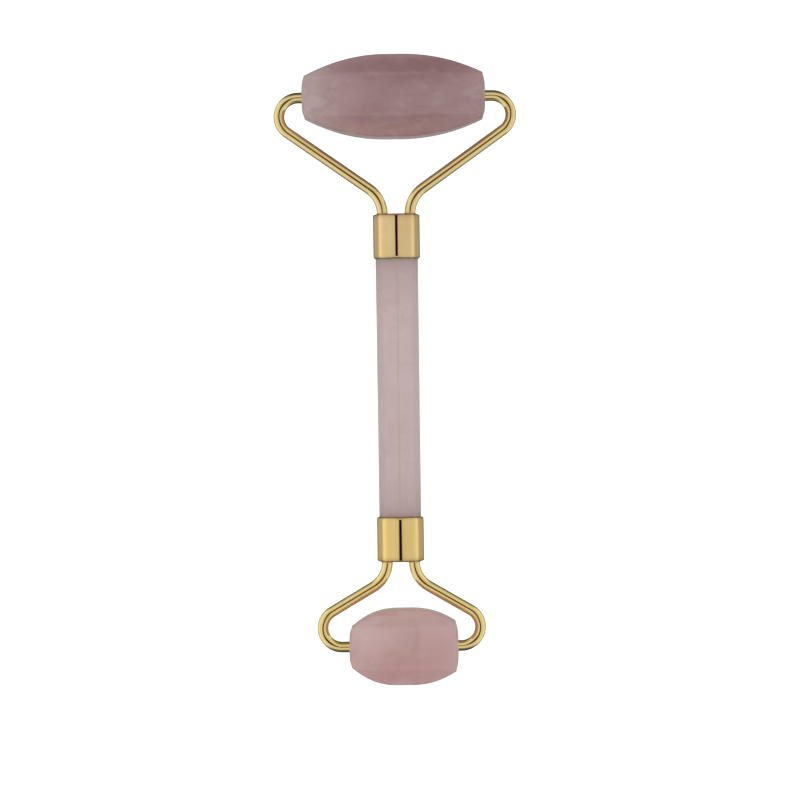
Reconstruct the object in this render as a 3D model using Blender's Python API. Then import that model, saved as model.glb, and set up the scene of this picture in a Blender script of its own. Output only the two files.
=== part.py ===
"""Two-ended stone face roller: a faceted stone handle with a bent-wire yoke and a barrel stone at each end.

Units are metres, +Z is up. The roller lies on its two barrel stones, which touch the plane z = 0. Their
axles run along X, the large stone is towards +Y, and the origin is under the middle of the whole object.
The two stones differ in radius, so the handle leans a little between them. The handle, ferrules and yokes
are modelled in the handle's own straight frame, which one tilted empty then sets on the stones.
"""

import math
from dataclasses import dataclass

import bmesh
import bpy

GAP = 0.0003                       # clearance between pieces that touch on the real object

# The handle: a slightly tapered octagonal rod with a ground-down spigot at each end.
HANDLE_LENGTH = 0.0591             # stone that shows between the ferrules
HANDLE_APOTHEM = {+1: 0.00461, -1: 0.00454}     # centre to flat, at the large end and at the small end
HANDLE_EDGE_RADIUS = 0.0012

# The ferrules: octagonal cast cups that hold the handle's spigots and the legs of the wires.
FERRULE_LENGTH = 0.0102
FERRULE_FACE = HANDLE_LENGTH / 2 + FERRULE_LENGTH      # handle's middle to the ferrules' closed ends
FERRULE_APOTHEM = 0.00518
FERRULE_WALL = 0.0005
FERRULE_END_WALL = 0.0028
FERRULE_EDGE_RADIUS = 0.0032
FERRULE_BORE_EDGE_RADIUS = 0.00128
FERRULE_END_ROUND = (0.00076, 0.0005)           # rounding round the closed end, across and along
FERRULE_MOUTH_ROUND = (0.0003, 0.0009)          # rounding round the open end, the same way
ROUND_STEPS = 3
CEMENT_THICKNESS = 0.0012

# The yokes: one bent wire on each side, from the ferrule's end wall to the middle of the barrel stone.
WIRE_RADIUS = 0.00125
WIRE_SIDES_RESOLUTION = 4          # bevel resolution of the wire, twelve sides
WIRE_SHANK = 0.0025                # length of wire inside the end wall
BEND_RADIUS = 0.00435              # centreline radius of the bend beside the stone
ARC_STEP = math.radians(9)

# The brazed fillet round each leg, just off the ferrule.
BRAZE_HEIGHT = 0.0003
BRAZE_BASE = 0.00175
BRAZE_TOP = 0.0016
BRAZE_BORE = 0.00145

# The stones turn on plastic bushes, one glued into each end of the bore.
BUSH_LENGTH = 0.006
BUSH_RECESS = 0.0005
BUSH_BORE = 0.00145
BUSH_RADIUS = 0.00195
BUSH_CHAMFER = 0.0002
STONE_BORE = BUSH_RADIUS + GAP
STONE_EDGE_RADIUS = 0.0007
STONE_STATIONS = 9                 # rings between the middle of a stone and its rim, on each side
STONE_REST_BAND = 0.0015           # half length of the flat band that the stone lies on
STONE_RIM = (0.00045, 0.0003)      # eased rim at each end, across and along
STONE_DOME = 0.0005                # how far each end face bulges
DOME_SHARES = (0.7, 0.35, 0.0)     # rings on the end face, as shares of the way from the bore to the rim

EDGE_STEPS = 3                     # segments round each rounded edge of an octagon
EIGHTH_TURN = math.radians(45)
RING_POINTS = 8 * (EDGE_STEPS + 1)
SHARP_ANGLE = math.radians(30)


@dataclass(frozen=True)
class Stone:
    """A barrel stone: eight lengthwise flats, four main ones and four narrower ones between them."""
    half_length: float             # middle to rim
    belly: float                   # axle to a main flat, at the middle
    belly_diagonal: float          # axle to a narrow flat, at the middle
    ends: dict                     # axle to a main flat at the rim, on the left (-1) and the right (+1)
    ends_diagonal: dict            # axle to a narrow flat at the rim, the same way
    fullness: float                # power of the curve from belly to rim: 2 is a parabola, more is fuller
    offset: float                  # where the stone has slid to along its axle


@dataclass(frozen=True)
class End:
    """One end of the roller: its yoke and its stone."""
    name: str
    facing: int                    # +1 towards +Y, -1 towards -Y
    reach: float                   # ferrule's end to axle
    leg: float                     # centreline to leg
    foot_radius: float             # centreline radius of the outward curve above the ferrule
    foot_lead: float               # straight leg between the ferrule and that curve
    half_span: float               # centreline to the outermost point of the wire's own centreline
    stub_tip: float                # centreline to the tip of the wire inside the stone
    stone: Stone


LARGE_END = End(
    name="large", facing=+1, reach=0.0269, leg=0.00317, foot_radius=0.0071, foot_lead=0.0001,
    half_span=0.02655, stub_tip=0.0115,
    stone=Stone(
        half_length=0.0202, belly=0.0095, belly_diagonal=0.0101,
        ends={-1: 0.0049, +1: 0.0053}, ends_diagonal={-1: 0.0062, +1: 0.0066}, fullness=2.1, offset=-0.0003,
    ),
)
SMALL_END = End(
    name="small", facing=-1, reach=0.0195, leg=0.0031, foot_radius=0.0066, foot_lead=0.0001,
    half_span=0.01805, stub_tip=0.0045,
    stone=Stone(
        half_length=0.0117, belly=0.0087, belly_diagonal=0.0094,
        ends={-1: 0.0046, +1: 0.0056}, ends_diagonal={-1: 0.0061, +1: 0.0071}, fullness=2.2, offset=0.00045,
    ),
)
SIDES = {"left": -1, "right": +1}


def clear_scene():
    """Remove whatever the opened file holds."""
    for thing in list(bpy.data.objects):
        bpy.data.objects.remove(thing, do_unlink=True)


def make_material(name, colour, roughness, metallic):
    """A plain Principled material."""
    material = bpy.data.materials.new(name)
    material.use_nodes = True
    shader = material.node_tree.nodes["Principled BSDF"]
    shader.inputs["Base Color"].default_value = (*colour, 1.0)
    shader.inputs["Roughness"].default_value = roughness
    shader.inputs["Metallic"].default_value = metallic
    return material


def make_empty(name, location, tilt=0.0):
    """An empty that carries pieces, turned by `tilt` about X."""
    empty = bpy.data.objects.new(name, None)
    empty.location = location
    empty.rotation_euler = (tilt, 0.0, 0.0)
    bpy.context.scene.collection.objects.link(empty)
    return empty


def place(name, data, material, parent):
    """An object for `data`, with its material, carried by `parent`."""
    thing = bpy.data.objects.new(name, data)
    data.materials.append(material)
    thing.parent = parent
    bpy.context.scene.collection.objects.link(thing)
    return thing


def loft(name, rings, closed=False):
    """A solid skinned over rings with equally many points, capped at both ends unless the run is closed."""
    shape = bmesh.new()
    loops = [[shape.verts.new(point) for point in ring] for ring in rings]
    spans = list(zip(loops, loops[1:]))
    if closed:
        spans.append((loops[-1], loops[0]))
    else:
        shape.faces.new(loops[0])
        shape.faces.new(loops[-1])
    for here, there in spans:
        for index, corner in enumerate(here):
            before = index - 1
            shape.faces.new((here[before], corner, there[index], there[before]))
    bmesh.ops.recalc_face_normals(shape, faces=shape.faces)
    mesh = bpy.data.meshes.new(name)
    shape.to_mesh(mesh)
    shape.free()
    mesh.shade_smooth()
    mesh.set_sharp_from_angle(angle=SHARP_ANGLE)
    return mesh


def octagon(main, diagonal, edge_radius, first_normal):
    """An octagon with rounded edges, whose flats are in turn `main` and `diagonal` away from its centre."""
    points = []
    for side in range(8):
        here, there = (main, diagonal) if side % 2 == 0 else (diagonal, main)
        here -= edge_radius
        there -= edge_radius
        start = first_normal + side * EIGHTH_TURN
        stop = start + EIGHTH_TURN
        corner_u = (here * math.sin(stop) - there * math.sin(start)) / math.sin(EIGHTH_TURN)
        corner_v = (there * math.cos(start) - here * math.cos(stop)) / math.sin(EIGHTH_TURN)
        for step in range(EDGE_STEPS + 1):
            angle = start + EIGHTH_TURN * step / EDGE_STEPS
            points.append((
                corner_u + edge_radius * math.cos(angle),
                corner_v + edge_radius * math.sin(angle),
            ))
    return points


def circle(radius, first_normal=0.0):
    """A circle whose points pair with those of an octagon that has the same first normal."""
    step = 2 * math.pi / RING_POINTS
    start = first_normal + EIGHTH_TURN / 2 - step * EDGE_STEPS / 2
    return [
        (radius * math.cos(start + index * step), radius * math.sin(start + index * step))
        for index in range(RING_POINTS)
    ]


def across_y(outline, y, x=0.0):
    """An outline set square to Y."""
    return [(x + u, y, v) for u, v in outline]


def across_x(outline, x):
    """An outline set square to X."""
    return [(x, u, v) for u, v in outline]


def rod_outline(apothem, edge_radius):
    """The handle's and ferrules' regular octagon, which has an edge at the top."""
    return octagon(apothem, apothem, edge_radius, first_normal=EIGHTH_TURN / 2)


def build_handle(material, parent):
    """The octagonal stone rod, whose spigots go into the ferrules up to the cement."""
    shoulder = HANDLE_LENGTH / 2 - GAP
    spigot_end = FERRULE_FACE - FERRULE_END_WALL - CEMENT_THICKNESS - 2 * GAP
    spigot = rod_outline(FERRULE_APOTHEM - FERRULE_WALL - GAP, FERRULE_BORE_EDGE_RADIUS)
    rings = []
    for facing in (-1, +1):
        stone = rod_outline(HANDLE_APOTHEM[facing], HANDLE_EDGE_RADIUS)
        half = [
            across_y(stone, facing * shoulder),
            across_y(spigot, facing * shoulder),
            across_y(spigot, facing * spigot_end),
        ]
        rings += half if facing > 0 else half[::-1]
    return place("handle_stone", loft("handle_stone", rings), material, parent)


def build_leg_cutter(end, side, parent):
    """The drill that opens one leg's hole in the end wall of a ferrule."""
    outline = circle(WIRE_RADIUS + GAP)
    rings = [
        across_y(outline, end.facing * (FERRULE_FACE - FERRULE_END_WALL - FERRULE_WALL), side * end.leg),
        across_y(outline, end.facing * (FERRULE_FACE + FERRULE_WALL), side * end.leg),
    ]
    cutter = bpy.data.objects.new(f"{end.name}_leg_drill", loft("leg_drill", rings))
    cutter.parent = parent
    cutter.hide_render = True
    cutter.display_type = "WIRE"
    bpy.context.scene.collection.objects.link(cutter)
    return cutter


def build_ferrule(end, material, parent):
    """An octagonal cup with rounded ends and two drilled holes in its closed end."""
    mouth = FERRULE_FACE - FERRULE_LENGTH
    end_across, end_along = FERRULE_END_ROUND
    mouth_across, mouth_along = FERRULE_MOUTH_ROUND
    bore = rod_outline(FERRULE_APOTHEM - FERRULE_WALL, FERRULE_BORE_EDGE_RADIUS)
    rings = []
    for step in range(ROUND_STEPS + 1):
        angle = math.pi / 2 * step / ROUND_STEPS
        inset = end_across * (1 - math.sin(angle))
        depth = end_along * (1 - math.cos(angle))
        outline = rod_outline(FERRULE_APOTHEM - inset, FERRULE_EDGE_RADIUS)
        rings.append(across_y(outline, FERRULE_FACE - depth))
    for step in range(ROUND_STEPS + 1):
        angle = math.pi / 2 * step / ROUND_STEPS
        inset = mouth_across * (1 - math.cos(angle))
        height = mouth_along * (1 - math.sin(angle))
        outline = rod_outline(FERRULE_APOTHEM - inset, FERRULE_EDGE_RADIUS)
        rings.append(across_y(outline, mouth + height))
    rings.append(across_y(bore, mouth))
    rings.append(across_y(bore, FERRULE_FACE - FERRULE_END_WALL))
    rings = [[(x, end.facing * y, z) for x, y, z in ring] for ring in rings]
    name = f"{end.name}_end_ferrule"
    ferrule = place(name, loft(name, rings), material, parent)
    for side in SIDES.values():
        drill = ferrule.modifiers.new("leg_hole", "BOOLEAN")
        drill.operation = "DIFFERENCE"
        drill.solver = "EXACT"
        drill.object = build_leg_cutter(end, side, parent)
    return ferrule


def build_cement(end, material, parent):
    """The pad of hard cement between a ferrule's end wall and the handle's spigot."""
    outer = FERRULE_FACE - FERRULE_END_WALL - GAP
    outline = rod_outline(FERRULE_APOTHEM - FERRULE_WALL - GAP, FERRULE_BORE_EDGE_RADIUS)
    rings = [
        across_y(outline, end.facing * (outer - CEMENT_THICKNESS)),
        across_y(outline, end.facing * outer),
    ]
    name = f"{end.name}_end_cement"
    return place(name, loft(name, rings), material, parent)


def arc(centre, radius, start, stop):
    """Points along an arc, with both of its ends."""
    count = math.ceil(abs(stop - start) / ARC_STEP)
    angles = [start + (stop - start) * step / count for step in range(count + 1)]
    return [(centre[0] + radius * math.cos(a), centre[1] + radius * math.sin(a)) for a in angles]


def arm_route(end):
    """A wire's centreline as (outward from the middle, outward from the ferrule), from shank to tip.

    It is two arcs joined by their common tangent, with a straight leg before and a straight stub after.
    """
    foot = (end.leg + end.foot_radius, end.foot_lead)
    bend = (end.half_span - BEND_RADIUS, end.reach - BEND_RADIUS)
    run = math.hypot(bend[0] - foot[0], bend[1] - foot[1])
    bearing = math.atan2(bend[1] - foot[1], bend[0] - foot[0])
    slope = bearing - math.asin((end.foot_radius + BEND_RADIUS) / run)
    return [
        (end.leg, -WIRE_SHANK),
        *arc(foot, end.foot_radius, math.pi, math.pi / 2 + slope),
        *arc(bend, BEND_RADIUS, slope - math.pi / 2, math.pi / 2),
        (end.stub_tip, end.reach),
    ]


def build_arm(end, side_name, material, parent):
    """One bent wire of a yoke: shank, outward curve, straight, bend, and the stone's stub axle."""
    side = SIDES[side_name]
    route = [(side * x, end.facing * (FERRULE_FACE + y), 0.0) for x, y in arm_route(end)]
    name = f"{end.name}_{side_name}_arm"
    curve = bpy.data.curves.new(name, "CURVE")
    curve.dimensions = "3D"
    curve.bevel_depth = WIRE_RADIUS
    curve.bevel_resolution = WIRE_SIDES_RESOLUTION
    curve.use_fill_caps = True
    spline = curve.splines.new("POLY")
    spline.points.add(len(route) - 1)
    for point, place_on_route in zip(spline.points, route):
        point.co = (*place_on_route, 1.0)
    return place(name, curve, material, parent)


def build_braze(end, side_name, material, parent):
    """The small cone of braze round a leg, where it leaves the ferrule."""
    base = FERRULE_FACE + GAP
    centre = SIDES[side_name] * end.leg
    bore = circle(BRAZE_BORE)
    rings = [
        across_y(circle(BRAZE_BASE), end.facing * base, centre),
        across_y(circle(BRAZE_TOP), end.facing * (base + BRAZE_HEIGHT), centre),
        across_y(bore, end.facing * (base + BRAZE_HEIGHT), centre),
        across_y(bore, end.facing * base, centre),
    ]
    name = f"{end.name}_{side_name}_braze"
    return place(name, loft(name, rings, closed=True), material, parent)


def barrel(belly, rim, fullness, share):
    """Height of a curve that is `belly` high in the middle and `rim` high at a share of one."""
    return belly - (belly - rim) * share ** fullness


def stone_half(stone, side):
    """Rings of one half of a stone, from its middle out to its rim and in over the end face to the bore."""
    rings = []
    for station in range(STONE_STATIONS + 1):
        share = math.sin(math.pi / 2 * station / STONE_STATIONS)
        main = barrel(stone.belly, stone.ends[side], stone.fullness, share)
        diagonal = barrel(stone.belly_diagonal, stone.ends_diagonal[side], stone.fullness, share)
        x = STONE_REST_BAND + (stone.half_length - STONE_REST_BAND) * share
        rings.append(across_x(octagon(main, diagonal, STONE_EDGE_RADIUS, 0.0), side * x))
    rim_across, rim_along = STONE_RIM
    face = octagon(
        stone.ends[side] - rim_across, stone.ends_diagonal[side] - rim_across, STONE_EDGE_RADIUS, 0.0,
    )
    face_x = stone.half_length + rim_along
    rings.append(across_x(face, side * face_x))
    for share in DOME_SHARES:
        outline = [
            (share * u + (1 - share) * bore_u, share * v + (1 - share) * bore_v)
            for (u, v), (bore_u, bore_v) in zip(face, circle(STONE_BORE))
        ]
        rings.append(across_x(outline, side * (face_x + STONE_DOME * (1 - share ** 2))))
    return rings


def build_stone(end, material, axle):
    """The barrel stone, bored right through along its axle."""
    halves = stone_half(end.stone, -1)[::-1] + stone_half(end.stone, +1)
    rings = [[(x + end.stone.offset, y, z) for x, y, z in ring] for ring in halves]
    name = f"{end.name}_roller_stone"
    return place(name, loft(name, rings, closed=True), material, axle)


def build_bush(end, side_name, material, axle):
    """The plastic sleeve glued into one end of a stone's bore, which runs on the wire's stub."""
    side = SIDES[side_name]
    mouth = end.stone.half_length + STONE_RIM[1] + STONE_DOME - BUSH_RECESS
    profile = [
        (BUSH_RADIUS - BUSH_CHAMFER, mouth),
        (BUSH_RADIUS, mouth - BUSH_CHAMFER),
        (BUSH_RADIUS, mouth - BUSH_LENGTH),
        (BUSH_BORE, mouth - BUSH_LENGTH),
        (BUSH_BORE, mouth),
    ]
    rings = [across_x(circle(radius), side * x + end.stone.offset) for radius, x in profile]
    name = f"{end.name}_{side_name}_bush"
    return place(name, loft(name, rings, closed=True), material, axle)


def main():
    """Set the handle's frame on the two stones, then build every piece in its place."""
    clear_scene()
    quartz = make_material("rose_quartz", (0.52, 0.37, 0.36), roughness=0.35, metallic=0.0)
    gold = make_material("gold_plate", (0.80, 0.62, 0.30), roughness=0.12, metallic=1.0)
    braze = make_material("gold_braze", (0.76, 0.58, 0.28), roughness=0.25, metallic=1.0)
    cement = make_material("cement", (0.85, 0.83, 0.76), roughness=0.7, metallic=0.0)
    plastic = make_material("bush_plastic", (0.88, 0.88, 0.86), roughness=0.45, metallic=0.0)

    large_axle_y = FERRULE_FACE + LARGE_END.reach
    small_axle_y = -FERRULE_FACE - SMALL_END.reach
    large_radius = LARGE_END.stone.belly
    small_radius = SMALL_END.stone.belly
    tilt = math.asin((large_radius - small_radius) / (large_axle_y - small_axle_y))
    frame_y = -((large_axle_y + small_axle_y) * math.cos(tilt) + large_radius - small_radius) / 2
    frame_z = large_radius - large_axle_y * math.sin(tilt)
    handle_frame = make_empty("handle_frame", (0.0, frame_y, frame_z), tilt)

    build_handle(quartz, handle_frame)
    for end, axle_y in ((LARGE_END, large_axle_y), (SMALL_END, small_axle_y)):
        build_ferrule(end, gold, handle_frame)
        build_cement(end, cement, handle_frame)
        axle = make_empty(f"{end.name}_axle", (0.0, frame_y + axle_y * math.cos(tilt), end.stone.belly))
        build_stone(end, quartz, axle)
        for side_name in SIDES:
            build_arm(end, side_name, gold, handle_frame)
            build_braze(end, side_name, braze, handle_frame)
            build_bush(end, side_name, plastic, axle)


main()
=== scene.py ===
"""Looks of the two-ended stone face roller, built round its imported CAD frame.

Units are metres, +Z is up. Every size below is one of the model's own, and every place is worked out from
the boxes of the CAD nodes. The handle, ferrules and yokes share one straight frame, which leans a little
because the two stones that the roller lies on differ in radius.
"""

import math
from dataclasses import dataclass

import bmesh
import bpy
from mathutils import Matrix, Vector, noise


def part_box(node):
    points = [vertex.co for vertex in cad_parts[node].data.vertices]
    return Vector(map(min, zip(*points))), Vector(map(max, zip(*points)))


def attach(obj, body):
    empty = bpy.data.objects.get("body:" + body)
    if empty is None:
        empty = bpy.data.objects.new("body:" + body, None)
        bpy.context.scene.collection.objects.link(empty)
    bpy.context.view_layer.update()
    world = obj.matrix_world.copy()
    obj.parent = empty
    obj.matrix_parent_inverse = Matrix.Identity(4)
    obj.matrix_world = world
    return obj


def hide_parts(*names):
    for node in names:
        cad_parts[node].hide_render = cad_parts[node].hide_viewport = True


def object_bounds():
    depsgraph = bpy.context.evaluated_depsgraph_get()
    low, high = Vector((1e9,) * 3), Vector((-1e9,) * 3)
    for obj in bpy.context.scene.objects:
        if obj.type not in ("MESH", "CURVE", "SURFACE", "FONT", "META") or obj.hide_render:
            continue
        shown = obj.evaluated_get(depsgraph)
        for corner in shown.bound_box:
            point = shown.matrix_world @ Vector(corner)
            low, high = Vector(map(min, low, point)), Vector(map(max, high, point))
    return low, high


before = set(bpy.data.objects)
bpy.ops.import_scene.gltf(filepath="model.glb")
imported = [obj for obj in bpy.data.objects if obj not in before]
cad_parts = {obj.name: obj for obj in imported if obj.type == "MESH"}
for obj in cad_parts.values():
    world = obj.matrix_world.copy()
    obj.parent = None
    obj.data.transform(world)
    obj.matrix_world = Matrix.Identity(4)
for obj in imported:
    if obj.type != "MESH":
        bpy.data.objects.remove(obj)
cad_bounds = [list(corner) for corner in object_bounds()]


def colour(red, green, blue):
    """An sRGB colour of 0 to 255 as the linear colour that nodes take."""
    def linear(level):
        level /= 255
        return level / 12.92 if level <= 0.04045 else ((level + 0.055) / 1.055) ** 2.4
    return (linear(red), linear(green), linear(blue), 1.0)


# The handle and its ferrules.
HANDLE_LENGTH = 0.0591
HANDLE_APOTHEM = {+1: 0.00461, -1: 0.00454}     # centre to flat, at the large end and at the small end
HANDLE_EDGE_RADIUS = 0.0012
HANDLE_STATIONS = 48
HANDLE_IN_MOUTH = 0.0016           # how far the full section of the stone goes into a ferrule
FERRULE_LENGTH = 0.0102
FERRULE_FACE = HANDLE_LENGTH / 2 + FERRULE_LENGTH      # handle's middle to the ferrules' closed ends
FERRULE_APOTHEM = 0.00518
FERRULE_EDGE_RADIUS = 0.0032
FERRULE_BORE = 0.00468             # the inside's centre to its flats
FERRULE_BORE_EDGE_RADIUS = 0.00128
FERRULE_END_WALL = 0.0028
FERRULE_END_ROUND = (0.00076, 0.0004)             # across and along
FERRULE_MOUTH_ROUND = (0.00034, 0.0006)
SPIGOT_APOTHEM = 0.00423           # the handle's ground-down ends, inside the ferrules
SPIGOT_END = 0.0351                # the handle's middle to the end of a spigot

# The wires.
WIRE_RADIUS = 0.00125
WIRE_SIDES = 40
WIRE_SHANK = 0.0025                # length of wire inside the ferrule's end wall
BEND_RADIUS = 0.00435              # of the centreline, beside the stone
ARC_STEP = math.radians(3)
WIRE_TIP_ROUND = 0.0003
BRAZE_FILLET = 0.00035             # radius of the concave fillet between a leg and its ferrule
BRAZE_OVERLAP = BRAZE_FILLET / 5   # how far the fillet goes into the wire and into the ferrule
BRAZE_STEPS = 8

# The barrel stones and their bushes.
STONE_BORE = 0.00225
STONE_BORE_CHAMFER = 0.00025
STONE_STATIONS = 40
EDGE_ROOM = 0.9                    # share of a narrow flat that its rounded edges may take up
STONE_REST_BAND = 0.0015           # half length of the flat band that the stone lies on
STONE_RIM = (0.00045, 0.0003)      # eased rim at each end, across and along
STONE_DOME = 0.0005                # how far each end face bulges
DOME_SHARES = (0.97, 0.9, 0.75, 0.6, 0.45, 0.3, 0.15)
BUSH_LENGTH = 0.006
BUSH_RECESS = 0.0005
BUSH_BORE = 0.0014
BUSH_RADIUS = 0.00215
BUSH_LIP_ROUND = 0.0002

# Meshing.
EDGE_STEPS = 8                     # segments round each rounded edge of an octagon
ROUND_STEPS = 8                    # segments round each rounded rim
FLAT_SHARES = (0.05, 0.25, 0.5, 0.75, 0.95)      # points across each flat
EIGHTH_TURN = math.radians(45)
ROUND_SIDES = 8 * (EDGE_STEPS + 1 + len(FLAT_SHARES))      # as many points as an octagon has
GRIND_DEPTH = 0.00005              # depth of the waviness that grinding by hand leaves on a stone
GRIND_SCALE = 95.0                 # waves per metre

# The view.
CAMERA_HEIGHT = 0.8                # above the middle of the object
CAMERA_OFFSET = (0.0003, -0.0069)  # from the middle of the object
CAMERA_TURN = math.radians(-0.78)
CAMERA_LENS = 157.2                # millimetres, as the sensor's width is
SENSOR_WIDTH = 36.0
CAMERA_CLIPS = (0.05, 20.0)

# Milky quartz. A scale is in waves per metre.
CLOUD_DRIFT = (140.0, 0.004)       # scale and size in metres of the drift that makes the clouds ragged
CLOUD_EDGE = (0.1, 1.0)            # shares of a cloud's size where it starts to fade, and where it is gone
PALE_QUARTZ = colour(216, 196, 194)
VEIN_STRETCH = (0.8, 2.2, 2.2)     # veins are cracks that healed, so they are thin sheets along the stone
VEIN_SCALE = 75.0
VEIN_HALF_WIDTH = 0.05             # as a height of the noise either way from its middle
VEIN_WEIGHT = 0.27
VEIN_PATCH_SCALE = 130.0           # veins show in patches only
VEIN_PATCHES = (0.45, 0.65)        # heights of the patches' noise where veins start, and show fully
MILK_STRETCH = (1.0, 1.6, 1.0)
POLISH_SPREAD = (0.9, 1.1)         # shares of a stone's roughness that its mottling gives
SATIN_SCALE = 800.0
SATIN_BUMP = (0.04, 0.0001)        # strength and depth
QUARTZ_SHADER = {
    "Subsurface_Weight": 0.3, "Subsurface_Scale": 0.0015, "Subsurface_Radius": (1.0, 0.55, 0.5), "IOR": 1.54,
    "Sheen_Weight": 0.6, "Sheen_Roughness": 0.25, "Sheen_Tint": (0.86, 0.84, 0.88, 1.0),
}

# The shades that a ferrule puts on the handle's end: reach in metres, weight and tone.
END_SHADES = (
    (0.0055, 0.46, colour(142, 116, 106)),
    (0.0006, 0.35, colour(150, 112, 52)),
)
# Painted shade: a darker line on the rod's edges, for the dark patch overhead that their rounding mirrors.
# The rod's eight edges: the cosines of eight times the angle where their painted shade starts and is full.
RIDGE_SHADE_WIDTH = (0.86, 0.99)
RIDGE_SHADE_WEIGHT = 0.25
RIDGE_SHADE_TONE = colour(190, 165, 164)

# Gold plate.
GOLD_TONE_SCALE = 160.0
WIPE_STRETCH = (9.0, 1.0, 9.0)     # wipe marks run along the roller
WIPE_SCALE = 420.0
WIPE_SPREAD = (0.8, 1.2)           # shares of the gold's roughness that the marks give
WIPE_BUMP = (0.03, 0.00002)        # strength and depth
RIPPLE_SCALE = 260.0
RIPPLE_BUMP = (0.06, 0.0002)
# Each rim's painted dark reflection: its place along the handle from its middle, how far it fades over, and
# its weight.
RIM_SHADES = ((FERRULE_FACE, 0.0004, 1.0), (FERRULE_FACE - FERRULE_LENGTH, 0.0002, 0.8))
RIM_INSIDE = (0.0040, 0.0046)      # how far from the handle's axis the painted shade starts, and is full
RIM_SHADE_BROWN = colour(88, 58, 24)

# Braze, cement and plastic.
BRAZE_LUMP_SCALE = 1500.0
BRAZE_ROUGHNESS = (0.2, 0.3)
BRAZE_BUMP = (0.15, 0.0001)
GRIT_ROUGHNESS_SPREAD = 0.06
GRIT_BUMP_STRENGTH = 0.3
EVEN_NOISE = (0.3, 0.7)            # most heights of a noise lie between these

# The floor.
FLOOR_HALF = 3.0
FLOOR_COLOUR = (0.9, 0.9, 0.9, 1.0)
FLOOR_ROUGHNESS = 0.8
FLOOR_GLOW = 0.75
WHITE = (1.0, 1.0, 1.0, 1.0)

# What polished metal sees, by angle from straight up in degrees.
MIRRORED = (
    (0, (0.66, 0.66, 0.66)), (20, (0.67, 0.67, 0.67)), (45, (0.72, 0.72, 0.72)), (60, (0.76, 0.76, 0.76)),
    (90, (0.95, 0.95, 0.95)), (105, (0.72, 0.715, 0.7)), (120, (0.5, 0.48, 0.45)), (136, (0.48, 0.46, 0.43)),
    (147, (0.18, 0.17, 0.155)), (160, (0.14, 0.14, 0.13)), (168, (0.35, 0.34, 0.33)),
    (180, (0.35, 0.34, 0.33)),
)
# The dark patch overhead, as shares of its own half width: dark inside, with a warm soft edge.
CAMERA_SHADOW = (
    (0, (0.015, 0.004, 0.0)), (0.7, (0.015, 0.004, 0.0)), (1.0, (0.5, 0.38, 0.16)), (1.6, (1, 1, 1)),
)
# Half of the patch, as sines of angles: across the roller, along it, and what is added half way between.
CAMERA_SHADOW_HALF = (0.15, 0.085, 0.2)
# The studio is dark past both ends of the roller: where that starts, where it is full, and what is left.
DARK_ENDS = (0.68, 1.0, 0.12)
DARK_ENDS_LOW = 0.4                # how much wider the dark ends are below the horizon
BRIGHTER_SIDE = (1.05, 0.96)       # at the left and at the right
# What dull surfaces are lit by, which is plainer.
SOFT_LIGHT = (
    (0, (0.85, 0.85, 0.85)), (60, (0.8, 0.8, 0.8)), (90, (0.75, 0.75, 0.75)), (180, (0.6, 0.6, 0.6)),
)


@dataclass(frozen=True)
class End:
    """One end of the roller: its yoke and its stone."""
    name: str
    facing: int
    reach: float                   # ferrule's closed end to axle
    leg: float                     # the roller's middle to a leg of the yoke
    foot_radius: float             # of the outward curve above the ferrule
    foot_lead: float               # straight leg between the ferrule and that curve
    half_span: float               # the roller's middle to the outermost point of a wire's centreline
    stub_tip: float                # the roller's middle to the tip of a wire, inside the stone
    half_length: float             # the stone, middle to rim
    belly: float                   # axle to a main flat, at the middle
    belly_diagonal: float          # axle to a narrow flat, at the middle
    ends: dict                     # axle to a main flat at the rim, on the left (-1) and the right (+1)
    ends_diagonal: dict            # axle to a narrow flat at the rim, the same way
    fullness: float                # power of the curve from belly to rim: 2 is a parabola, more is fuller
    edge_radius: float


LARGE_END = End(
    name="large", facing=+1, reach=0.0269, leg=0.00317, foot_radius=0.0071, foot_lead=0.0001,
    half_span=0.02655, stub_tip=0.0115, half_length=0.0202, belly=0.0095, belly_diagonal=0.0101,
    ends={-1: 0.0049, +1: 0.0053}, ends_diagonal={-1: 0.0062, +1: 0.0066}, fullness=2.1,
    edge_radius=0.0018,
)
SMALL_END = End(
    name="small", facing=-1, reach=0.0195, leg=0.0031, foot_radius=0.0066, foot_lead=0.0001,
    half_span=0.01805, stub_tip=0.0045, half_length=0.0117, belly=0.0087, belly_diagonal=0.0094,
    ends={-1: 0.0048, +1: 0.0058}, ends_diagonal={-1: 0.0063, +1: 0.0074}, fullness=2.25,
    edge_radius=0.0024,
)
SIDES = {"left": -1, "right": +1}


@dataclass(frozen=True)
class Cloud:
    """A soft patch of another tone in a stone."""
    place: tuple                   # from the stone's middle
    size: tuple                    # half its length along X, Y and Z
    tone: tuple
    weight: float
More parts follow.
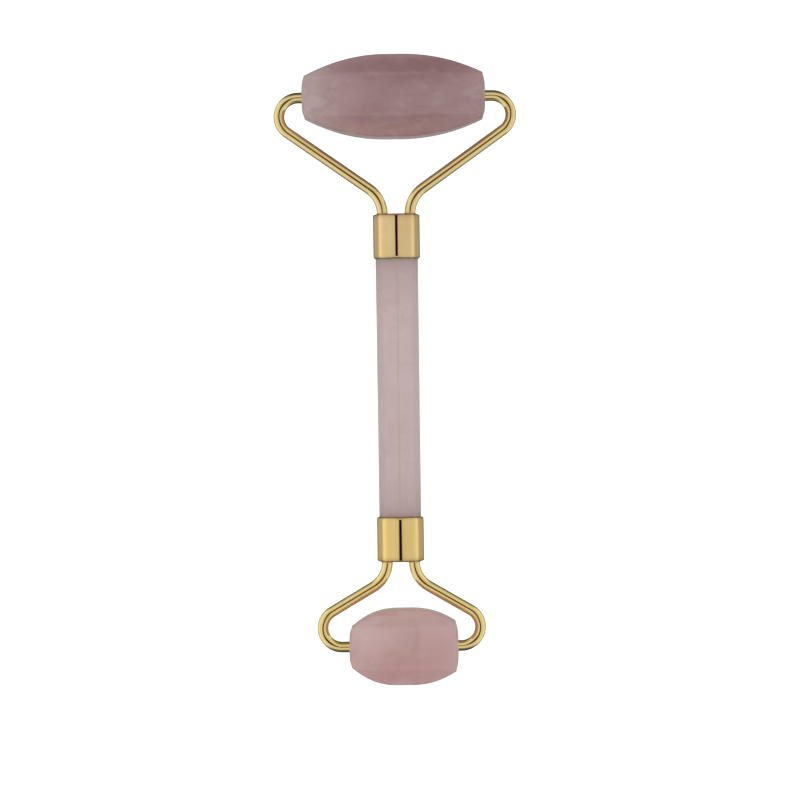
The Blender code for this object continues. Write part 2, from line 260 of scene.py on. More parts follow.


# Clouds in the stones: places and sizes in metres, from each stone's middle. One is painted light, as
# marked.
LARGE_CLOUDS = (
    Cloud((0.0045, 0.0070, 0.0062), (0.026, 0.0050, 0.0080), colour(153, 112, 114), 0.82),
    Cloud((0.007, 0.0040, 0.0085), (0.015, 0.0036, 0.005), colour(147, 106, 109), 0.6),
    # Painted light: this pale cloud lightens the large stone's edge on the +Y side, which the studio's light
    # leaves dark.
    Cloud((-0.001, 0.0098, 0.003), (0.022, 0.0032, 0.0052), colour(190, 160, 160), 0.6),
    Cloud((-0.0225, 0.0, 0.003), (0.0145, 0.02, 0.02), colour(208, 187, 185), 0.95),
    Cloud((-0.0115, -0.001, 0.008), (0.0085, 0.006, 0.009), colour(196, 160, 161), 0.5),
    Cloud((0.0200, 0.0, 0.004), (0.005, 0.02, 0.02), colour(192, 158, 160), 0.4),
    Cloud((0.0016, -0.0022, 0.0095), (0.0055, 0.0036, 0.005), colour(196, 168, 169), 0.4),
    Cloud((0.0, -0.0078, 0.0055), (0.023, 0.0036, 0.0066), colour(186, 144, 137), 0.65),
    Cloud((-0.0105, -0.0078, 0.005), (0.008, 0.0042, 0.006), colour(200, 163, 154), 0.5),
    Cloud((0.0005, -0.0070, 0.0065), (0.005, 0.0010, 0.003), colour(160, 108, 99), 0.3),
    Cloud((0.0085, -0.0054, 0.0072), (0.006, 0.0010, 0.003), colour(148, 106, 102), 0.45),
)
SMALL_CLOUDS = (
    Cloud((-0.001, 0.0072, 0.003), (0.013, 0.005, 0.0075), colour(225, 191, 178), 0.76),
    Cloud((-0.0078, 0.0035, 0.0060), (0.0085, 0.0060, 0.0065), colour(228, 204, 203), 0.55),
    Cloud((0.0026, 0.0008, 0.0087), (0.0016, 0.0050, 0.004), colour(186, 138, 139), 0.45),
    Cloud((-0.0035, -0.0014, 0.0085), (0.003, 0.002, 0.004), colour(198, 146, 148), 0.45),
    Cloud((0.0006, -0.0048, 0.0070), (0.0140, 0.0050, 0.0070), colour(196, 138, 139), 0.62),
    Cloud((0.0065, -0.001, 0.0075), (0.0065, 0.0060, 0.005), colour(196, 147, 146), 0.5),
    Cloud((-0.001, -0.0047, 0.0075), (0.002, 0.0008, 0.003), colour(214, 182, 180), 0.35),
)
HANDLE_CLOUDS = (
    Cloud((0.001, 0.012, 0.004), (0.003, 0.007, 0.004), colour(226, 210, 208), 0.5),
    Cloud((-0.0015, -0.009, 0.004), (0.002, 0.004, 0.004), colour(218, 186, 186), 0.5),
)


@dataclass(frozen=True)
class Layer:
    """Noise that puts another tone into a stone."""
    scale: float                   # waves per metre
    detail: float
    roughness: float
    distortion: float
    low: float                     # height of the noise where the tone starts to show
    high: float                    # height where it shows fully
    weight: float


SLOW = Layer(scale=110.0, detail=3.0, roughness=0.5, distortion=0.4, low=0.35, high=0.75, weight=0.3)
MOTTLE = Layer(scale=420.0, detail=4.0, roughness=0.55, distortion=0.5, low=0.35, high=0.7, weight=0.16)
MILK = Layer(scale=260.0, detail=3.0, roughness=0.6, distortion=0.0, low=0.5, high=0.8, weight=0.2)
GRAIN = Layer(scale=2100.0, detail=2.0, roughness=0.7, distortion=0.0, low=0.3, high=0.7, weight=0.08)


@dataclass(frozen=True)
class Quartz:
    """The quartz of one stone."""
    body: tuple
    shade: tuple                   # of its darker clouding
    vein: tuple
    clouds: tuple
    seed: tuple                    # shifts its noise, so that the stones differ
    polish: float                  # its middle roughness


QUARTZ = {
    "handle": Quartz(
        body=colour(219, 197, 196), shade=colour(203, 179, 177), vein=colour(206, 170, 166),
        clouds=HANDLE_CLOUDS, seed=(0.71, 0.22, 0.17), polish=0.18,
    ),
    "large": Quartz(
        body=colour(173, 141, 143), shade=colour(158, 122, 124), vein=colour(156, 108, 107),
        clouds=LARGE_CLOUDS, seed=(0.31, 0.12, 0.07), polish=0.33,
    ),
    "small": Quartz(
        body=colour(212, 177, 175), shade=colour(197, 158, 157), vein=colour(190, 135, 135),
        clouds=SMALL_CLOUDS, seed=(0.11, 0.52, 0.27), polish=0.33,
    ),
}
GRIND_SEEDS = {"handle": 3.0, "large": 11.0, "small": 23.0}


@dataclass(frozen=True)
class Gold:
    """The plate on one set of metal pieces."""
    tone: tuple
    other_tone: tuple
    roughness: float
    seed: tuple                    # shifts its noise, so that the pieces differ


GOLD = {
    "ferrule_large": Gold(colour(244, 213, 157), colour(240, 208, 150), 0.06, (0.1, 0.2, 0.3)),
    "ferrule_small": Gold(colour(249, 219, 144), colour(246, 215, 139), 0.06, (0.4, 0.1, 0.2)),
    "wire_large": Gold(colour(250, 226, 161), colour(246, 220, 157), 0.1, (0.6, 0.2, 0.1)),
    "wire_small": Gold(colour(255, 230, 158), colour(252, 227, 152), 0.1, (0.2, 0.7, 0.4)),
}


@dataclass(frozen=True)
class Grit:
    """A plain material with a fine grain."""
    tone: tuple
    other_tone: tuple
    scale: float                   # waves per metre
    roughness: float
    depth: float                   # of its grain, in metres


CEMENT = Grit(colour(214, 208, 192), colour(190, 183, 165), 2600.0, 0.75, 0.0002)
PLASTIC = Grit(colour(232, 230, 224), colour(222, 219, 211), 3200.0, 0.45, 0.00003)
BRAZE_TONES = (colour(232, 200, 140), colour(218, 184, 126))


# ---------------------------------------------------------------- places

def middle_of(node):
    """The middle of a CAD node's box."""
    low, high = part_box(node)
    return (low + high) / 2


def handle_place():
    """Where the handle's own frame is: on the line between the two axles, leaning with it."""
    large = middle_of("large_roller_stone")
    small = middle_of("small_roller_stone")
    large.x = small.x = 0.0
    along = (large - small).normalized()
    origin = large - along * (FERRULE_FACE + LARGE_END.reach)
    return Matrix.Translation(origin) @ Matrix.Rotation(math.asin(along.z), 4, "X")


# ---------------------------------------------------------------- meshes

def finish_mesh(name, shape, material, place):
    """An object of a finished bmesh, smooth, with flat faces kept flat, set in its place."""
    bmesh.ops.recalc_face_normals(shape, faces=shape.faces)
    mesh = bpy.data.meshes.new(name)
    shape.to_mesh(mesh)
    shape.free()
    mesh.transform(place)
    mesh.shade_smooth()
    mesh.materials.append(material)
    thing = bpy.data.objects.new(name, mesh)
    bpy.context.scene.collection.objects.link(thing)
    weighted = thing.modifiers.new("face_weighted_normals", "WEIGHTED_NORMAL")
    weighted.mode = "FACE_AREA"
    weighted.keep_sharp = True
    return thing


def loft(rings, closed=False):
    """A bmesh skinned over rings with equally many points, capped at both ends unless the run is closed."""
    shape = bmesh.new()
    loops = [[shape.verts.new(point) for point in ring] for ring in rings]
    spans = list(zip(loops, loops[1:]))
    if closed:
        spans.append((loops[-1], loops[0]))
    else:
        shape.faces.new(loops[0])
        shape.faces.new(loops[-1])
    for here, there in spans:
        for index, corner in enumerate(here):
            before = index - 1
            shape.faces.new((here[before], corner, there[index], there[before]))
    return shape


def octagon(main, diagonal, edge_radius, first_normal=0.0):
    """An octagon with rounded edges, whose flats are in turn `main` and `diagonal` away from its centre."""
    corners = []
    for side in range(8):
        here, there = (main, diagonal) if side % 2 == 0 else (diagonal, main)
        here -= edge_radius
        there -= edge_radius
        start = first_normal + side * EIGHTH_TURN
        stop = start + EIGHTH_TURN
        corner_u = (here * math.sin(stop) - there * math.sin(start)) / math.sin(EIGHTH_TURN)
        corner_v = (there * math.cos(start) - here * math.cos(stop)) / math.sin(EIGHTH_TURN)
        angles = [start + EIGHTH_TURN * step / EDGE_STEPS for step in range(EDGE_STEPS + 1)]
        corners.append([
            Vector((corner_u + edge_radius * math.cos(a), corner_v + edge_radius * math.sin(a)))
            for a in angles
        ])
    points = []
    for corner, following in zip(corners, corners[1:] + corners[:1]):
        points += corner
        points += [corner[-1].lerp(following[0], share) for share in FLAT_SHARES]
    return points


def circle_like(outline, radius):
    """A circle whose points lie in the same directions as those of an outline."""
    return [point.normalized() * radius for point in outline]


def circle(radius, sides):
    """A circle with points at equal steps."""
    angles = [2 * math.pi * index / sides for index in range(sides)]
    return [Vector((radius * math.cos(a), radius * math.sin(a))) for a in angles]


def across_y(outline, y, x=0.0):
    """An outline set square to Y."""
    return [(x + point.x, y, point.y) for point in outline]


def across_x(outline, x):
    """An outline set square to X."""
    return [(x, point.x, point.y) for point in outline]


def rod_outline(apothem, edge_radius):
    """The handle's and ferrules' regular octagon, which has an edge at the top."""
    return octagon(apothem, apothem, edge_radius, first_normal=EIGHTH_TURN / 2)


def grind(shape, seed):
    """Press shallow, slow waves into a stone's surface."""
    shape.normal_update()
    for vertex in shape.verts:
        wave = noise.noise(vertex.co * GRIND_SCALE + Vector((seed, seed, seed)))
        vertex.co -= vertex.normal * GRIND_DEPTH * (1 + wave) / 2


# ---------------------------------------------------------------- stones

def build_handle(material, place):
    """The octagonal stone rod, which goes on into both ferrules."""
    shoulder = HANDLE_LENGTH / 2 + HANDLE_IN_MOUTH
    spigot = rod_outline(SPIGOT_APOTHEM, HANDLE_EDGE_RADIUS)
    rings = [across_y(spigot, -SPIGOT_END), across_y(spigot, -shoulder)]
    for station in range(HANDLE_STATIONS + 1):
        share = station / HANDLE_STATIONS
        apothem = HANDLE_APOTHEM[-1] + (HANDLE_APOTHEM[+1] - HANDLE_APOTHEM[-1]) * share
        rings.append(across_y(rod_outline(apothem, HANDLE_EDGE_RADIUS), shoulder * (2 * share - 1)))
    rings += [across_y(spigot, shoulder), across_y(spigot, SPIGOT_END)]
    shape = loft(rings)
    bmesh.ops.recalc_face_normals(shape, faces=shape.faces)
    grind(shape, GRIND_SEEDS["handle"])
    return finish_mesh("handle_rod", shape, material, place)


def barrel(belly, rim, fullness, share):
    """Height of a curve that is `belly` high in the middle and `rim` high at a share of one."""
    return belly - (belly - rim) * share ** fullness


def stone_outline(end, main, diagonal):
    """An octagon of a stone, whose edges are rounded less where its narrow flats leave less room."""
    room = (main * math.sqrt(2) - diagonal) / math.tan(EIGHTH_TURN / 2)
    return octagon(main, diagonal, min(end.edge_radius, room * EDGE_ROOM))


def stone_half(end, side):
    """Rings of one half of a stone, from its middle out to its rim and in over the end face to the bore."""
    rings = []
    for station in range(STONE_STATIONS + 1):
        share = math.sin(math.pi / 2 * station / STONE_STATIONS)
        main = barrel(end.belly, end.ends[side], end.fullness, share)
        diagonal = barrel(end.belly_diagonal, end.ends_diagonal[side], end.fullness, share)
        x = STONE_REST_BAND + (end.half_length - STONE_REST_BAND) * share
        rings.append(across_x(stone_outline(end, main, diagonal), side * x))
    rim_across, rim_along = STONE_RIM
    for step in range(1, ROUND_STEPS + 1):
        angle = math.pi / 2 * step / ROUND_STEPS
        inset = rim_across * (1 - math.cos(angle))
        face = stone_outline(end, end.ends[side] - inset, end.ends_diagonal[side] - inset)
        rings.append(across_x(face, side * (end.half_length + rim_along * math.sin(angle))))
    face_x = end.half_length + rim_along
    mouth = circle_like(face, STONE_BORE + STONE_BORE_CHAMFER)
    for share in DOME_SHARES + (0.0,):
        outline = [inner.lerp(outer, share) for inner, outer in zip(mouth, face)]
        rings.append(across_x(outline, side * (face_x + STONE_DOME * (1 - share ** 2))))
    bore_x = face_x + STONE_DOME - STONE_BORE_CHAMFER
    rings.append(across_x(circle_like(face, STONE_BORE), side * bore_x))
    return rings


def build_stone(end, material):
    """The barrel stone, bored right through along its axle."""
    shape = loft(stone_half(end, -1)[::-1] + stone_half(end, +1), closed=True)
    bmesh.ops.recalc_face_normals(shape, faces=shape.faces)
    grind(shape, GRIND_SEEDS[end.name])
    place = Matrix.Translation(middle_of(f"{end.name}_roller_stone"))
    return finish_mesh(f"{end.name}_barrel_stone", shape, material, place)


def build_bush(end, side_name, material):
    """The plastic sleeve in one end of a stone's bore, which runs on the wire's stub."""
    side = SIDES[side_name]
    mouth = end.half_length + STONE_RIM[1] + STONE_DOME - BUSH_RECESS
    profile = []
    for step in range(ROUND_STEPS + 1):
        angle = math.pi / 2 * step / ROUND_STEPS
        profile.append((
            BUSH_RADIUS - BUSH_LIP_ROUND * (1 - math.cos(angle)),
            mouth - BUSH_LIP_ROUND * (1 - math.sin(angle)),
        ))
    for step in range(ROUND_STEPS + 1):
        angle = math.pi / 2 * step / ROUND_STEPS
        profile.append((
            BUSH_BORE + BUSH_LIP_ROUND * (1 - math.sin(angle)),
            mouth - BUSH_LIP_ROUND * (1 - math.cos(angle)),
        ))
    profile += [(BUSH_BORE, mouth - BUSH_LENGTH), (BUSH_RADIUS, mouth - BUSH_LENGTH)]
    rings = [across_x(circle(radius, ROUND_SIDES), side * x) for radius, x in profile]
    place = Matrix.Translation(middle_of(f"{end.name}_roller_stone"))
    return finish_mesh(f"{end.name}_{side_name}_sleeve", loft(rings, closed=True), material, place)


# ---------------------------------------------------------------- metal

def build_ferrule(end, material, place):
    """An octagonal cup with rounded ends, which the legs of the wires go into."""
    mouth = FERRULE_FACE - FERRULE_LENGTH
    end_across, end_along = FERRULE_END_ROUND
    mouth_across, mouth_along = FERRULE_MOUTH_ROUND
    bore = rod_outline(FERRULE_BORE, FERRULE_BORE_EDGE_RADIUS)
    rings = []
    for step in range(ROUND_STEPS + 1):
        angle = math.pi / 2 * step / ROUND_STEPS
        inset = end_across * (1 - math.sin(angle))
        depth = end_along * (1 - math.cos(angle))
        outline = rod_outline(FERRULE_APOTHEM - inset, FERRULE_EDGE_RADIUS)
        rings.append(across_y(outline, FERRULE_FACE - depth))
    for step in range(ROUND_STEPS + 1):
        angle = math.pi / 2 * step / ROUND_STEPS
        inset = mouth_across * (1 - math.cos(angle))
        height = mouth_along * (1 - math.sin(angle))
        outline = rod_outline(FERRULE_APOTHEM - inset, FERRULE_EDGE_RADIUS)
        rings.append(across_y(outline, mouth + height))
    rings.append(across_y(bore, mouth))
    rings.append(across_y(bore, FERRULE_FACE - FERRULE_END_WALL))
    rings = [[(x, end.facing * y, z) for x, y, z in ring] for ring in rings]
    return finish_mesh(f"{end.name}_ferrule_cup", loft(rings), material, place)


def arc(centre, radius, start, stop):
    """Points along an arc, with both of its ends."""
    count = math.ceil(abs(stop - start) / ARC_STEP)
    angles = [start + (stop - start) * step / count for step in range(count + 1)]
    return [(centre[0] + radius * math.cos(a), centre[1] + radius * math.sin(a)) for a in angles]


def arm_route(end):
    """A wire's centreline as (outward from the middle, outward from the ferrule), from shank to tip."""
    foot = (end.leg + end.foot_radius, end.foot_lead)
    bend = (end.half_span - BEND_RADIUS, end.reach - BEND_RADIUS)
    run = math.hypot(bend[0] - foot[0], bend[1] - foot[1])
    bearing = math.atan2(bend[1] - foot[1], bend[0] - foot[0])
    slope = bearing - math.asin((end.foot_radius + BEND_RADIUS) / run)
    return [
        (end.leg, -WIRE_SHANK),
        *arc(foot, end.foot_radius, math.pi, math.pi / 2 + slope),
        *arc(bend, BEND_RADIUS, slope - math.pi / 2, math.pi / 2),
        (end.stub_tip, end.reach),
    ]


def build_wire(end, side_name, material, place):
    """One bent wire of a yoke, swept along its route, with a rounded tip."""
    side = SIDES[side_name]
    route = [Vector((side * x, end.facing * (FERRULE_FACE + y), 0.0)) for x, y in arm_route(end)]
    sections = [(point, WIRE_RADIUS) for point in route[:-1]]
    last_run = (route[-1] - route[-2]).normalized()
    for step in range(ROUND_STEPS + 1):
        angle = math.pi / 2 * step / ROUND_STEPS
        back = WIRE_TIP_ROUND * (1 - math.sin(angle))
        sections.append((route[-1] - last_run * back, WIRE_RADIUS - WIRE_TIP_ROUND * (1 - math.cos(angle))))
    rings = []
    for index, (point, radius) in enumerate(sections):
        before = sections[max(index - 1, 0)][0]
        after = sections[min(index + 1, len(sections) - 1)][0]
        along = (after - before).normalized()
        outward = along.cross(Vector((0.0, 0.0, 1.0)))
        rings.append([
            point + outward * spot.x + Vector((0.0, 0.0, spot.y)) for spot in circle(radius, WIRE_SIDES)
        ])
    return finish_mesh(f"{end.name}_{side_name}_wire", loft(rings), material, place)


def build_braze(end, side_name, material, place):
    """The concave fillet of braze round a leg, where it leaves the ferrule."""
    centre = SIDES[side_name] * end.leg
    profile = []
    for step in range(BRAZE_STEPS + 1):
        angle = math.pi / 2 * step / BRAZE_STEPS
        profile.append((
            WIRE_RADIUS + BRAZE_FILLET * (1 - math.sin(angle)),
            BRAZE_FILLET * (1 - math.cos(angle)),
        ))
    inner = WIRE_RADIUS - BRAZE_OVERLAP
    profile += [(inner, BRAZE_FILLET), (inner, -BRAZE_OVERLAP), (profile[0][0], -BRAZE_OVERLAP)]
    rings = [
        across_y(circle(radius, WIRE_SIDES), end.facing * (FERRULE_FACE + y), centre)
        for radius, y in profile
    ]
    return finish_mesh(f"{end.name}_{side_name}_fillet", loft(rings, closed=True), material, place)


# ---------------------------------------------------------------- materials

class Nodes:
    """A short way to write the nodes of a material or a world."""

    def __init__(self, owner, coordinates="Object"):
        owner.use_nodes = True
        self.owner = owner
        self.tree = owner.node_tree
        self.coordinates = self.new("ShaderNodeTexCoord").outputs[coordinates]

    def new(self, kind, **settings):
        """A new node, with its settings."""
        node = self.tree.nodes.new(kind)
        for key, value in settings.items():
            setattr(node, key, value)
        return node

    def put(self, value, socket):
        """Set a socket to a number or a colour, or link it to another node's output."""
        if isinstance(value, bpy.types.NodeSocket):
            self.tree.links.new(value, socket)
        else:
            socket.default_value = value

    def stretch(self, scale, shift=(0.0, 0.0, 0.0), where=None):
        """Coordinates times `scale` plus `shift`."""
        node = self.new("ShaderNodeMapping")
        self.put(where or self.coordinates, node.inputs["Vector"])
        node.inputs["Scale"].default_value = scale
        node.inputs["Location"].default_value = shift
        return node.outputs["Vector"]

    def seen_from(self, place):
        """Coordinates in the frame of `place`."""
        node = self.new("ShaderNodeMapping", vector_type="TEXTURE")
        self.put(self.coordinates, node.inputs["Vector"])
        node.inputs["Location"].default_value = place.translation
        node.inputs["Rotation"].default_value = place.to_euler()
        return node.outputs["Vector"]

    def noise(self, where, scale, detail=3.0, roughness=0.5, distortion=0.0, output="Fac"):
        """Noise of `scale` waves per metre."""
        node = self.new("ShaderNodeTexNoise")
        self.put(where, node.inputs["Vector"])
        node.inputs["Scale"].default_value = scale
        node.inputs["Detail"].default_value = detail
        node.inputs["Roughness"].default_value = roughness
        node.inputs["Distortion"].default_value = distortion
        return node.outputs[output]

    def warp(self, where, scale, amount):
        """Coordinates pushed about by slow noise, up to half of `amount` either way."""
        node = self.new("ShaderNodeVectorMath", operation="MULTIPLY_ADD")
        self.put(self.noise(where, scale, output="Color"), node.inputs[0])
        self.put((amount, amount, amount), node.inputs[1])
        centred = self.stretch((1.0, 1.0, 1.0), (-amount / 2, -amount / 2, -amount / 2), where)
        self.put(centred, node.inputs[2])
        return node.outputs["Vector"]

    def length(self, where):
        """The length of a vector."""
        node = self.new("ShaderNodeVectorMath", operation="LENGTH")
        self.put(where, node.inputs[0])
        return node.outputs["Value"]

    def split(self, where, axis):
        """One of a vector's three parts."""
        node = self.new("ShaderNodeSeparateXYZ")
        self.put(where, node.inputs["Vector"])
        return node.outputs[axis]

    def ramp(self, value, low, high, to_low=0.0, to_high=1.0):
        """A smooth change from `to_low` to `to_high` as a value goes from `low` to `high`."""
        node = self.new("ShaderNodeMapRange", interpolation_type="SMOOTHSTEP")
        self.put(value, node.inputs["Value"])
        for name, number in zip(("From Min", "From Max", "To Min", "To Max"), (low, high, to_low, to_high)):
            node.inputs[name].default_value = number
        return node.outputs["Result"]

    def scale(self, value, stops, largest):
        """A colour scale for a value of 0 to 1, with its stops given as shares of `largest`."""
        node = self.new("ShaderNodeValToRGB")
        self.put(value, node.inputs["Fac"])
        steps = node.color_ramp.elements
        for index, (place, tone) in enumerate(stops):
            step = steps[index] if index < 2 else steps.new(place / largest)
            step.position = place / largest
            step.color = (*tone, 1.0)
        return node.outputs["Color"]

    def maths(self, operation, first, second=0.0):
        """One sum with one or two values."""
        node = self.new("ShaderNodeMath", operation=operation)
        self.put(first, node.inputs[0])
        self.put(second, node.inputs[1])
        return node.outputs["Value"]

    def mix(self, share, first, second, blend="MIX"):
        """The first colour with a share of the second mixed in."""
        node = self.new("ShaderNodeMix", data_type="RGBA", blend_type=blend)
        self.put(share, node.inputs[0])
        self.put(first, node.inputs[6])
        self.put(second, node.inputs[7])
        return node.outputs[2]

    def bump(self, height, strength, distance, under=None):
        """A normal that makes `height` show as relief, on top of another relief where one is given."""
        node = self.new("ShaderNodeBump")
        node.inputs["Strength"].default_value = strength
        node.inputs["Distance"].default_value = distance
        self.put(height, node.inputs["Height"])
        if under is not None:
            self.put(under, node.inputs["Normal"])
        return node.outputs["Normal"]

    def set(self, **sockets):
        """Set the Principled shader's sockets."""
        shader = self.tree.nodes["Principled BSDF"]
        for key, value in sockets.items():
            self.put(value, shader.inputs[key.replace("_", " ")])


def new_material(name):
    """The nodes of a new material."""
    return Nodes(bpy.data.materials.new(name))


def add_cloud(n, body, cloud, where, middle):
    """The body colour with one cloud in it."""
    scale = [1 / size for size in cloud.size]
    shift = [-(middle[axis] + cloud.place[axis]) * scale[axis] for axis in range(3)]
    distance = n.length(n.stretch(scale, shift, where))
    return n.mix(n.ramp(distance, *CLOUD_EDGE, cloud.weight, 0.0), body, cloud.tone)


def layer_noise(n, where, layer):
    """A layer's noise."""
    return n.noise(where, layer.scale, layer.detail, layer.roughness, layer.distortion)


def add_layer(n, body, layer, heights, tone):
    """The body colour with one layer of another tone in it."""
    return n.mix(n.ramp(heights, layer.low, layer.high, 0.0, layer.weight), body, tone)


def add_veins(n, body, tone, where, seed):
    """The body colour with faint veins in it, in patches."""
    sheet_place = n.stretch(VEIN_STRETCH, seed[::-1])
    sheet = n.noise(sheet_place, VEIN_SCALE, detail=4.0, roughness=0.55, distortion=1.0)
    near_sheet = n.maths("ABSOLUTE", n.maths("SUBTRACT", sheet, 0.5))
    patches = n.ramp(n.noise(where, VEIN_PATCH_SCALE, detail=1.0), *VEIN_PATCHES)
    faint = n.maths("MULTIPLY", n.ramp(near_sheet, 0.0, VEIN_HALF_WIDTH, VEIN_WEIGHT, 0.0), patches)
    return n.mix(faint, body, tone)


def quartz(name, middle):
    """Milky rose quartz: clouds, slow changes, faint veins, pale milk, fine grain and a satin polish."""
    stone = QUARTZ[name]
    n = new_material(f"quartz_{name}")
    shifted = n.stretch((1.0, 1.0, 1.0), stone.seed)
    drift = n.warp(n.coordinates, *CLOUD_DRIFT)
    body = stone.body
    for cloud in stone.clouds:
        body = add_cloud(n, body, cloud, drift, middle)
    body = add_layer(n, body, SLOW, layer_noise(n, shifted, SLOW), stone.shade)
    mottle = layer_noise(n, shifted, MOTTLE)
    body = add_layer(n, body, MOTTLE, mottle, stone.shade)
    body = add_veins(n, body, stone.vein, shifted, stone.seed)
    milk = layer_noise(n, n.stretch(MILK_STRETCH, stone.seed[::-1]), MILK)
    body = add_layer(n, body, MILK, milk, PALE_QUARTZ)
    body = add_layer(n, body, GRAIN, layer_noise(n, shifted, GRAIN), stone.shade)
    smoothest, roughest = (stone.polish * share for share in POLISH_SPREAD)
    n.set(
        Base_Color=body,
        Roughness=n.ramp(mottle, *EVEN_NOISE, smoothest, roughest),
        Normal=n.bump(n.noise(shifted, SATIN_SCALE), *SATIN_BUMP),
        **QUARTZ_SHADER,
    )
    return n


def shade_rod(n, place):
    """The rod gets painted shade: darker and warmer near the ferrules, which shade its ends, and darker
    along its edges.
    """
    body = n.tree.nodes["Principled BSDF"].inputs["Base Color"].links[0].from_socket
    where = n.seen_from(place)
    past_mouth = n.maths("SUBTRACT", n.maths("ABSOLUTE", n.split(where, "Y")), HANDLE_LENGTH / 2)
    past_mouth = n.maths("MINIMUM", past_mouth, 0.0)
    for reach, weight, tone in END_SHADES:
        share = n.maths("MULTIPLY", n.maths("EXPONENT", n.maths("DIVIDE", past_mouth, reach)), weight)
        body = n.mix(share, body, tone)
    # Painted shade along the eight edges, for the dark patch overhead that they mirror.
    bearing = n.maths("ARCTAN2", n.split(where, "X"), n.split(where, "Z"))
    ridge_shade = n.ramp(n.maths("COSINE", n.maths("MULTIPLY", bearing, 8.0)), *RIDGE_SHADE_WIDTH, 0.0, RIDGE_SHADE_WEIGHT)
    n.set(Base_Color=n.mix(ridge_shade, body, RIDGE_SHADE_TONE))


def polished_gold(name):
    """Bright gold plate with faint wipe marks and a slow change of tone."""
    gold = GOLD[name]
    n = new_material(f"gold_{name}")
    where = n.stretch((1.0, 1.0, 1.0), gold.seed)
    tones = n.noise(where, GOLD_TONE_SCALE)
    wipes = n.noise(n.stretch(WIPE_STRETCH, gold.seed), WIPE_SCALE, detail=4.0, roughness=0.7)
    ripple = n.bump(n.noise(where, RIPPLE_SCALE, detail=2.0), *RIPPLE_BUMP)
    smoothest, roughest = (gold.roughness * share for share in WIPE_SPREAD)
    n.set(
        Base_Color=n.mix(n.ramp(tones, *EVEN_NOISE), gold.tone, gold.other_tone),
        Metallic=1.0,
        Roughness=n.ramp(wipes, *EVEN_NOISE, smoothest, roughest),
        Normal=n.bump(wipes, *WIPE_BUMP, ripple),
    )
    return n


def shade_rims(n, place):
    """The plate is browner in a fine line at each end of a ferrule: a painted dark reflection, for the dark
    surroundings that the rounded rims mirror.
    """
    plate = n.tree.nodes["Principled BSDF"].inputs["Base Color"].links[0].from_socket
    where = n.seen_from(place)
    along = n.maths("ABSOLUTE", n.split(where, "Y"))
    off_axis = n.length(n.stretch((1.0, 0.0, 1.0), where=where))
    outside = n.ramp(off_axis, *RIM_INSIDE)
    # Painted dark reflection: a fine brown line at each rim.
    for rim, reach, weight in RIM_SHADES:
        from_rim = n.maths("DIVIDE", n.maths("ABSOLUTE", n.maths("SUBTRACT", along, rim)), -reach)
        line = n.maths("MULTIPLY", n.maths("EXPONENT", from_rim), weight)
        plate = n.mix(n.maths("MULTIPLY", line, outside), plate, RIM_SHADE_BROWN)
    n.set(Base_Color=plate)


def cast_braze(name):
    """Brazed gold, duller and a little lumpy."""
    n = new_material(name)
    lumps = n.noise(n.coordinates, BRAZE_LUMP_SCALE)
    n.set(
        Base_Color=n.mix(n.ramp(lumps, *EVEN_NOISE), *BRAZE_TONES),
        Metallic=1.0,
        Roughness=n.ramp(lumps, *EVEN_NOISE, *BRAZE_ROUGHNESS),
        Normal=n.bump(lumps, *BRAZE_BUMP),
    )
    return n.owner


def gritty(name, grit):
    """A plain moulded or cast material with a fine grain."""
    n = new_material(name)
    grains = n.noise(n.coordinates, grit.scale, detail=4.0, roughness=0.6)
    smoothest = grit.roughness - GRIT_ROUGHNESS_SPREAD
    roughest = grit.roughness + GRIT_ROUGHNESS_SPREAD
    n.set(
        Base_Color=n.mix(n.ramp(grains, *EVEN_NOISE), grit.tone, grit.other_tone),
        Roughness=n.ramp(grains, *EVEN_NOISE, smoothest, roughest),
        Normal=n.bump(grains, GRIT_BUMP_STRENGTH, grit.depth),
    )
    return n.owner


# ---------------------------------------------------------------- studio

def build_floor():
    """A plain pale floor, lit so that it shows almost white."""
    corners = ((-1, -1), (1, -1), (1, 1), (-1, 1))
    shape = bmesh.new()
    shape.faces.new([shape.verts.new((x * FLOOR_HALF, y * FLOOR_HALF, 0.0)) for x, y in corners])
    mesh = bpy.data.meshes.new("floor")
    shape.to_mesh(mesh)
    shape.free()
    floor = bpy.data.objects.new("floor", mesh)
    bpy.context.scene.collection.objects.link(floor)
    n = new_material("pale_floor")
    n.set(
        Base_Color=FLOOR_COLOUR, Roughness=FLOOR_ROUGHNESS,
        Emission_Color=WHITE, Emission_Strength=FLOOR_GLOW,
    )
    mesh.materials.append(n.owner)
    floor.visible_glossy = False
    floor.visible_diffuse = False


def add_camera_shadow(n, mirrored, x, y):
    """The mirrored room with a dark patch overhead, wider half way between its two axes."""
    half_x, half_y, corner = CAMERA_SHADOW_HALF
    square = n.maths("ADD", n.maths("MULTIPLY", x, x), n.maths("MULTIPLY", y, y))
    share_x = n.maths("DIVIDE", n.maths("MULTIPLY", x, x), square)
    share_y = n.maths("DIVIDE", n.maths("MULTIPLY", y, y), square)
    half = n.maths("ADD", n.maths("MULTIPLY", share_x, half_x), n.maths("MULTIPLY", share_y, half_y))
    half_way = n.maths("MULTIPLY", n.maths("MULTIPLY", share_x, share_y), 4.0 * corner)
    reach = n.maths("DIVIDE", n.maths("SQRT", square), n.maths("ADD", half, half_way))
    largest = CAMERA_SHADOW[-1][0]
    shadow = n.scale(n.maths("DIVIDE", reach, largest), CAMERA_SHADOW, largest)
    return n.mix(1.0, mirrored, shadow, blend="MULTIPLY")


def add_dark_ends(n, mirrored, y, z):
    """The mirrored room with dark walls past both ends of the roller, wider below the horizon."""
    below = n.maths("MAXIMUM", n.maths("MULTIPLY", z, -DARK_ENDS_LOW), 0.0)
    start, full, left = DARK_ENDS
    ends = n.ramp(n.maths("ADD", n.maths("ABSOLUTE", y), below), start, full, 1.0, left)
    return n.mix(1.0, mirrored, ends, blend="MULTIPLY")


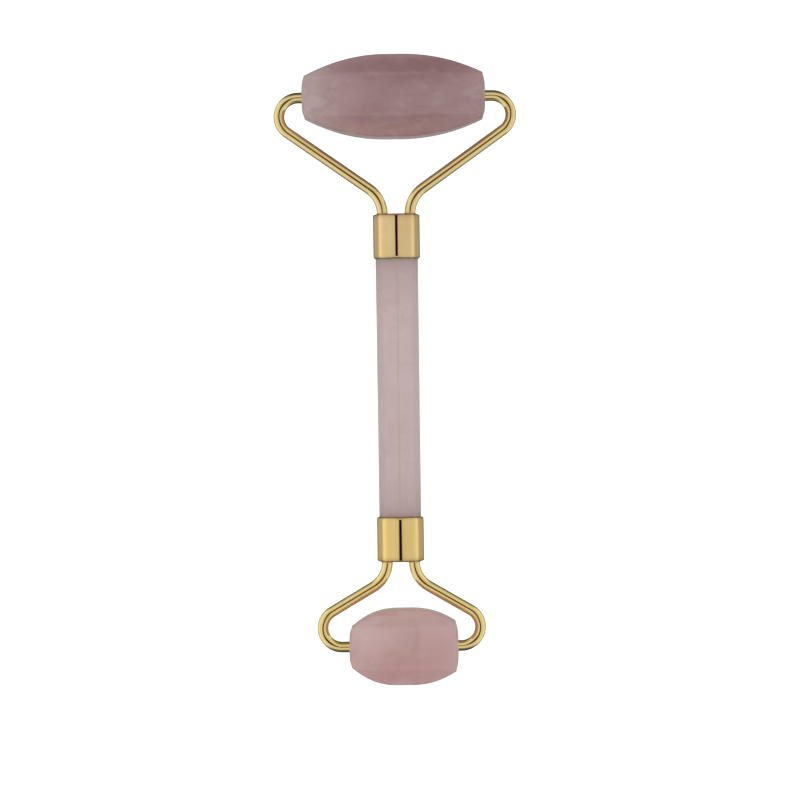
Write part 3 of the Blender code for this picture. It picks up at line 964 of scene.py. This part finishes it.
def build_studio():
    """Soft light from all round. Metal also mirrors a dark patch overhead and the dark ends of the room."""
    world = bpy.data.worlds.new("studio")
    bpy.context.scene.world = world
    n = Nodes(world, "Generated")
    x, y, z = (n.split(n.coordinates, axis) for axis in "XYZ")
    turn = n.maths("DIVIDE", n.maths("ARCCOSINE", z), math.pi)
    mirrored = add_camera_shadow(n, n.scale(turn, MIRRORED, 180), x, y)
    mirrored = add_dark_ends(n, mirrored, y, z)
    mirrored = n.mix(1.0, mirrored, n.ramp(x, -1.0, 1.0, *BRIGHTER_SIDE), blend="MULTIPLY")
    rays = n.new("ShaderNodeLightPath").outputs
    light = n.mix(rays["Is Diffuse Ray"], mirrored, n.scale(turn, SOFT_LIGHT, 180))
    backdrop = n.mix(rays["Is Camera Ray"], light, WHITE)
    n.put(backdrop, n.tree.nodes["Background"].inputs["Color"])


def build_camera():
    """A camera that looks straight down on the roller, turned a little."""
    low, high = (Vector(corner) for corner in cad_bounds)
    middle = (low + high) / 2
    data = bpy.data.cameras.new("camera")
    data.lens = CAMERA_LENS
    data.sensor_width = SENSOR_WIDTH
    data.clip_start, data.clip_end = CAMERA_CLIPS
    camera = bpy.data.objects.new("camera", data)
    camera.location = middle + Vector((*CAMERA_OFFSET, CAMERA_HEIGHT))
    camera.rotation_euler = (0.0, 0.0, CAMERA_TURN)
    bpy.context.scene.collection.objects.link(camera)
    bpy.context.scene.camera = camera


# ---------------------------------------------------------------- assembly

def stand_for(thing, body, node):
    """The piece moves with a body and stands for a CAD node, which it hides."""
    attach(thing, body)
    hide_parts(node)


def build_end(end, place, braze, plastic):
    """One end of the roller: its ferrule, barrel stone, wires, fillets of braze and bushes."""
    name = end.name
    roller = f"{name}_roller"
    plate = polished_gold(f"ferrule_{name}")
    shade_rims(plate, place)
    wire_plate = polished_gold(f"wire_{name}").owner
    stone_quartz = quartz(name, middle_of(f"{name}_roller_stone")).owner
    ferrule = build_ferrule(end, plate.owner, place)
    stand_for(ferrule, "frame", f"{name}_end_ferrule")
    stone = build_stone(end, stone_quartz)
    stand_for(stone, roller, f"{name}_roller_stone")
    for side_name in SIDES:
        wire = build_wire(end, side_name, wire_plate, place)
        stand_for(wire, "frame", f"{name}_{side_name}_arm")
        fillet = build_braze(end, side_name, braze, place)
        stand_for(fillet, "frame", f"{name}_{side_name}_braze")
        sleeve = build_bush(end, side_name, plastic)
        stand_for(sleeve, roller, f"{name}_{side_name}_bush")


def main():
    """Build every piece round the frame."""
    bpy.context.scene.view_settings.view_transform = "Standard"
    build_camera()
    build_studio()
    build_floor()
    place = handle_place()
    handle_quartz = quartz("handle", place.translation)
    shade_rod(handle_quartz, place)
    stand_for(build_handle(handle_quartz.owner, place), "frame", "handle_stone")
    braze = cast_braze("braze")
    plastic = gritty("bush_plastic", PLASTIC)
    cement = gritty("cement", CEMENT)
    for end in (LARGE_END, SMALL_END):
        build_end(end, place, braze, plastic)
        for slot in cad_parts[f"{end.name}_end_cement"].material_slots:
            slot.material = cement

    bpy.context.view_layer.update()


main()
